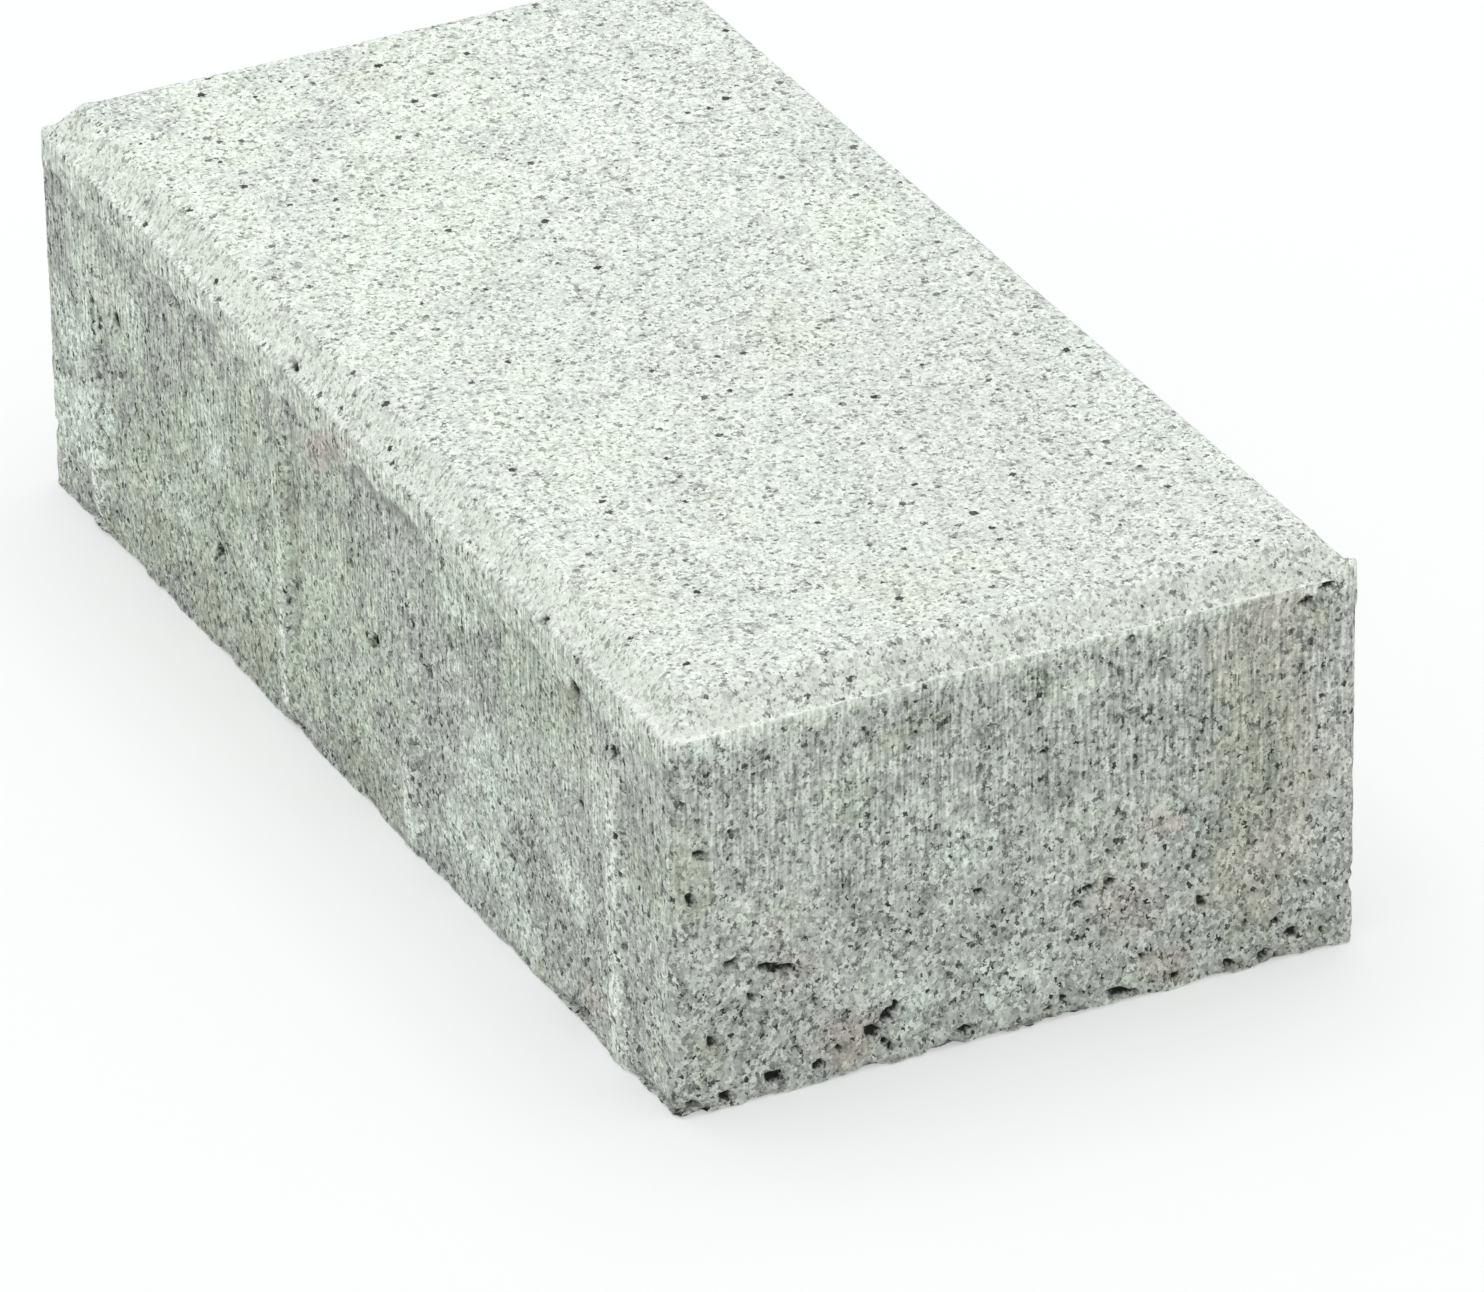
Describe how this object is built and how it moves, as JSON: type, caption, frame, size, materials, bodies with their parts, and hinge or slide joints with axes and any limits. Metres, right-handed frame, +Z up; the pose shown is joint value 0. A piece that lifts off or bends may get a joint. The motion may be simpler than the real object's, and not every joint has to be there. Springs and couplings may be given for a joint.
{
  "type": "concrete paving stone",
  "caption": "Rectangular cast concrete paving stone with a chamfered wearing face, a flat bed face and upright spacer nibs along both long sides.",
  "frame": {"origin": "middle of the bed face, on the level ground that the stone lies on", "axes": "+X along the long sides, +Y across the stone, +Z up out of the wearing face"},
  "size_m": [0.2, 0.1014, 0.06],
  "materials": {
    "concrete": "rough, matte, fine open grain"
  },
  "bodies": {
    "root": {"paving_stone": "concrete"}
  },
  "joints": []
}
